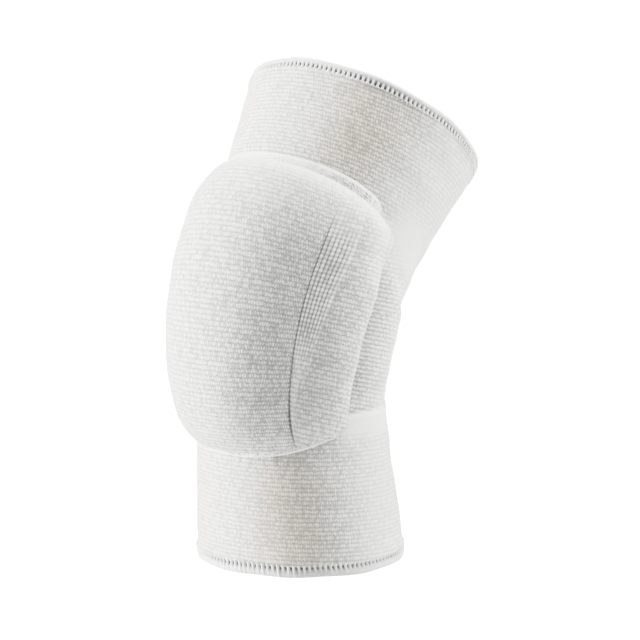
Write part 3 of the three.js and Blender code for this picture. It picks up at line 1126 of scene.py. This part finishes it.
# The open knit's painted shade: its ladders in its upper part, and the crease beside it
def gussetShade(up, share, width):
    fromLine = np.abs(share * ladders["columns"] - np.round(share * ladders["columns"]))
    distance = fromLine * width / ladders["columns"]
    shown = smoothStep(up, ladders["from"], ladders["from"] + 0.2)
    shown = shown * (1 - smoothStep(up, ladders["to"] - 0.12, ladders["to"]))
    shown = shown * (1 - smoothStep(share, ladders["fadeFrom"], 1))
    line = ladders["shade"] * np.exp(-((distance / ladders["width"]) ** 2))
    between = ladders["between"] * (1 - smoothStep(share, 0.3, 1)) * smoothStep(up, 0.05, 0.3)
    between = between * (1 - smoothStep(up, 0.8, 0.95))
    return between + shown * line + creaseDepth(up, share * width, "shade")


# A padded piece over a patch of the leg, whose edges(up) gives its two edges in degrees
def makePad(name, look, edges, heightAt, shadeAt, material, slot, node):
    spaced = np.linspace(0, 1, look["columns"])
    shares = (1 - np.cos(spaced * math.pi)) / 2 if look["crowded"] else spaced
    rows = rowsBetween(-seams["calfFront"], seams["thighFront"])
    up = np.broadcast_to(((rows - rows[0]) / (rows[-1] - rows[0]))[:, None], (len(rows), len(shares)))
    for _ in range(4):
        first, second = edges(up)
        angle = mix(first, second, shares[None, :])
        low = calfSeamAt(angle) + pads["inset"]
        high = thighSeamAt(angle) - pads["inset"]
        s = np.clip(rows[:, None], low, high)
        up = (s - low) / (high - low)
    share = np.broadcast_to(shares, up.shape)
    width = (second - first) * pads["widthOfDegree"]
    nearSeam = np.minimum(s - low, high - s)
    relief = uneven(s, angle) * smoothStep(np.minimum(up, 1 - up), 0, 0.02)
    fold = puckers(nearSeam, angle, sleeve["puckerReach"], sleeve["puckerHeight"], sleeve["puckerPitch"])
    height = pads["foot"] + heightAt(up, share, width) + relief + fold * smoothStep(nearSeam, 0, 2)
    outer = onLeg(s, angle, height)
    inner = onLeg(s, angle, pads["foot"] + uneven(s, angle) + 0 * up)
    across = angle * knit["nominalGirth"] / 360
    if look["stitchesAcross"]:
        across = (share * look["stitchesAcross"] - 0.5) * whiteKnit["walePitch"]
    marks = {"paintedShade": shadeAt(up, share, width), "smoothingAndPaintedLight": shoulderSmooth(up, angle)}
    outerGrid = (outer, acrossRows(outer, s, look["rowLean"]))
    innerGrid = (inner, acrossRows(inner, s, look["rowLean"]))
    piece = closedSkin(name, outerGrid, innerGrid, across, False, material, marks)
    return keep(piece, slot, node)


def frontEdges(up):
    return -creaseAt(up), creaseAt(up)


makePad(
    "frontPad",
    {"columns": 130, "crowded": True, "stitchesAcross": 0, "rowLean": None, "fill": 0.9},
    frontEdges,
    lambda up, share, width: frontPadHeight(up, 2 * share - 1),
    lambda up, share, width: creaseDepth(up, np.minimum(share, 1 - share) * width, "shade"),
    frontKnit,
    "pad_cover",
    "front_pad",
)
for sideName, sign in (("right", 1), ("left", -1)):
    def sideEdges(up, sign=sign):
        near, far = gussetEndAt(up), foldAt(up)
        return (near, far) if sign > 0 else (-far, -near)

    def gussetEdges(up, sign=sign):
        near, far = creaseAt(up), gussetEndAt(up)
        return (near, far) if sign > 0 else (-far, -near)

    def outwards(share, sign=sign):
        return share if sign > 0 else 1 - share

    makePad(
        f"sidePad_{sideName}",
        {"columns": 60, "crowded": True, "stitchesAcross": 0, "rowLean": 17, "fill": 0.7},
        sideEdges,
        lambda up, share, width, outwards=outwards: sidePadHeight(up, outwards(share)),
        lambda up, share, width: 0 * share,
        sideKnit,
        "pad_cover",
        f"side_pad_{sideName}",
    )
    makePad(
        f"meshGusset_{sideName}",
        {"columns": 90, "crowded": False, "stitchesAcross": ladders["columns"], "rowLean": 17, "fill": 0.3},
        gussetEdges,
        lambda up, share, width, outwards=outwards: gussetHeight(up, outwards(share), width),
        lambda up, share, width, outwards=outwards: gussetShade(up, outwards(share), width),
        gussetKnit,
        "open_knit",
        f"mesh_gusset_{sideName}",
    )
print("pads made")

# Camera at the photograph's angle
view = {
    "azimuth": 41.28,
    "elevation": 8.75,
    "distance": 1.4,
    "millimetresPerPixel": 0.49,
    "originColumn": 294.12,
    "originRow": 322.42,
    "frame": 640,
    "sensor": 36,
}


def addCamera():
    data = bpy.data.cameras.new("camera")
    camera = bpy.data.objects.new("camera", data)
    bpy.context.scene.collection.objects.link(camera)
    azimuth = math.radians(view["azimuth"])
    elevation = math.radians(view["elevation"])
    back = Vector(
        (
            math.sin(azimuth) * math.cos(elevation),
            -math.cos(azimuth) * math.cos(elevation),
            math.sin(elevation),
        )
    )
    camera.location = back * view["distance"]
    camera.rotation_euler = back.to_track_quat("Z", "Y").to_euler()
    pixelsPerTurn = view["distance"] / (view["millimetresPerPixel"] * metre)
    data.lens = pixelsPerTurn * view["sensor"] / view["frame"]
    data.sensor_width = view["sensor"]
    data.shift_x = (view["frame"] / 2 - view["originColumn"]) / view["frame"]
    data.shift_y = (view["originRow"] - view["frame"] / 2) / view["frame"]
    data.clip_end = 20
    bpy.context.scene.camera = camera


addCamera()

# Studio: two narrow soft boxes beside the pad, an even fill, and a pale floor well below it
studio = {
    "fill": 0.12,
    "shownWhite": 2.0,  # how bright the camera sees the floor and what is round it
    "floorDrop": 0.12,
    "floorSize": 60.0,
    # name, turn from the camera, elevation, distance, width, height, watts
    "boxes": [
        ("leftBox", -85, 5, 1.3, 0.35, 1.3, 33.5),
        ("rightBox", 97, 5, 1.3, 0.35, 1.3, 9.0),
        ("highRightBox", 90, 50, 1.4, 0.6, 0.6, 14.6),
        ("frontBox", 0, 60, 1.4, 0.9, 0.9, 5.6),
        ("topBox", 180, 80, 1.4, 0.9, 0.9, 7.5),
    ],
}


def addBox(name, turn, elevation, distance, width, height, power):
    data = bpy.data.lights.new(name, "AREA")
    data.shape = "RECTANGLE"
    data.energy = power
    data.size = width
    data.size_y = height
    light = bpy.data.objects.new(name, data)
    bpy.context.scene.collection.objects.link(light)
    azimuth = math.radians(view["azimuth"] + turn)
    rise = math.radians(elevation)
    towards = Vector((math.sin(azimuth) * math.cos(rise), -math.cos(azimuth) * math.cos(rise), math.sin(rise)))
    light.location = towards * distance
    light.rotation_euler = towards.to_track_quat("Z", "Y").to_euler()


def addWorld():
    world = bpy.data.worlds.new("studio")
    bpy.context.scene.world = world
    world.use_nodes = True
    tree = world.node_tree
    background = tree.nodes["Background"]
    ray = addNode(tree, "ShaderNodeLightPath")
    gain = studio["shownWhite"] - studio["fill"]
    strength = calc(tree, "MULTIPLY_ADD", ray.outputs["Is Camera Ray"], gain, studio["fill"])
    background.inputs[0].default_value = rgba((1, 1, 1))
    tree.links.new(strength, background.inputs[1])


def addFloor():
    bpy.ops.mesh.primitive_plane_add(size=studio["floorSize"])
    floor = bpy.context.object
    floor.name = "floor"
    floor.location.z = cadBox[0].z - studio["floorDrop"]
    material = bpy.data.materials.new("paleFloor")
    material.use_nodes = True
    tree = material.node_tree
    shader = tree.nodes["Principled BSDF"]
    shader.inputs["Base Color"].default_value = rgba((0.85, 0.85, 0.85))
    shader.inputs["Roughness"].default_value = 0.9
    shader.inputs["Emission Color"].default_value = rgba((1, 1, 1))
    ray = addNode(tree, "ShaderNodeLightPath")
    shown = calc(tree, "MULTIPLY", ray.outputs["Is Camera Ray"], studio["shownWhite"])
    tree.links.new(shown, shader.inputs["Emission Strength"])
    floor.data.materials.append(material)


# Bright tones are drawn together, as a slightly overexposed photograph has them
tone = {"straightTo": 0.45, "ceiling": 0.94, "levels": [0.0, 0.2, 0.45, 0.6, 0.8, 1.0, 1.25, 1.5, 1.8]}


def softTone(value):
    straight = tone["straightTo"]
    room = tone["ceiling"] - straight
    return min(value, straight) + room * (1 - math.exp(-max(value - straight, 0) / room))


def addTone():
    settings = bpy.context.scene.view_settings
    settings.view_transform = "Standard"
    settings.use_curve_mapping = True
    mapping = settings.curve_mapping
    white = studio["shownWhite"]
    mapping.white_level = (white, white, white)
    points = mapping.curves[3].points
    for level in tone["levels"][1:]:
        points.new(level / white, softTone(level))
    mapping.update()


addWorld()
addFloor()
for boxRow in studio["boxes"]:
    addBox(*boxRow)
addTone()
print("studio made")
